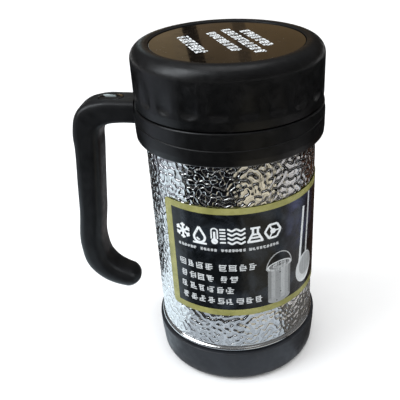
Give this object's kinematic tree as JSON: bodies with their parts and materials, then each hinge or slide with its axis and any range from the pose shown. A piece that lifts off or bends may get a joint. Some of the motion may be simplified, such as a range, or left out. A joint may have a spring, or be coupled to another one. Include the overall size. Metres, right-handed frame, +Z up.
{
  "type": "liquid nitrogen dewar",
  "caption": "Vacuum-jacketed steel mug dewar with a screw lid that holds a relief valve, a collar with a hook handle, a base cup and a wrapped label.",
  "frame": {"origin": "centre of the flat foot pad, on the surface the dewar stands on", "axes": "+Z up along the dewar's axis, handle along -X, +X opposite the handle"},
  "size_m": [0.1333, 0.0936, 0.1755],
  "materials": {
    "embossed_steel": "bright stainless steel, embossed all over with a wrinkle pattern",
    "plain_steel": "satin stainless steel",
    "aluminium_foil": "bright foil",
    "getter_metal": "dull sintered metal",
    "black_plastic": "satin black moulded plastic with fine scuffs",
    "neck_plastic": "satin moulded plastic",
    "glossy_black": "polished dark brown-black plastic",
    "black_rubber": "matte non-slip rubber",
    "silicone": "translucent white silicone",
    "foam": "pale rigid foam",
    "label_film": "printed film, dark panel with an olive-gold border"
  },
  "bodies": {
    "vessel": {"outer_shell": "embossed_steel", "outer_bottom_plate": "plain_steel", "seal_off_plug": "plain_steel", "inner_vessel": "plain_steel", "reflective_foil": "aluminium_foil", "getter": "getter_metal", "base_cup": "black_plastic", "foot_pad": "black_rubber", "label": "label_film", "collar_ring": "black_plastic", "neck_insert": "neck_plastic", "neck_seal": "silicone", "handle_grip": "black_plastic", "handle_inlay": "glossy_black", "handle_screw": "plain_steel"},
    "lid_seal": {"lid_seal_ring": "silicone"},
    "lid": {"lid_cap": "black_plastic", "lid_top_disc": "glossy_black", "lid_plug": "neck_plastic", "lid_foam": "foam", "vent_spring": "plain_steel", "vent_guide": "neck_plastic"},
    "vent": {"vent_poppet": "silicone"}
  },
  "joints": [
    {"name": "lid_lift", "type": "slide", "parent": "vessel", "child": "lid_seal", "axis": [0, 0, 1], "range_m": [0, 0.05]},
    {"name": "lid_turn", "type": "hinge", "parent": "lid_seal", "child": "lid", "pos_m": [0, 0, 0.15], "axis": [0, 0, 1], "range_deg": [0, 450]},
    {"name": "vent_lift", "type": "slide", "parent": "lid", "child": "vent", "axis": [0, 0, 1], "range_m": [0, 0.0025], "stiffness_N_per_m": 120, "springref_m": -0.004, "deforming": ["vent_spring"]}
  ]
}
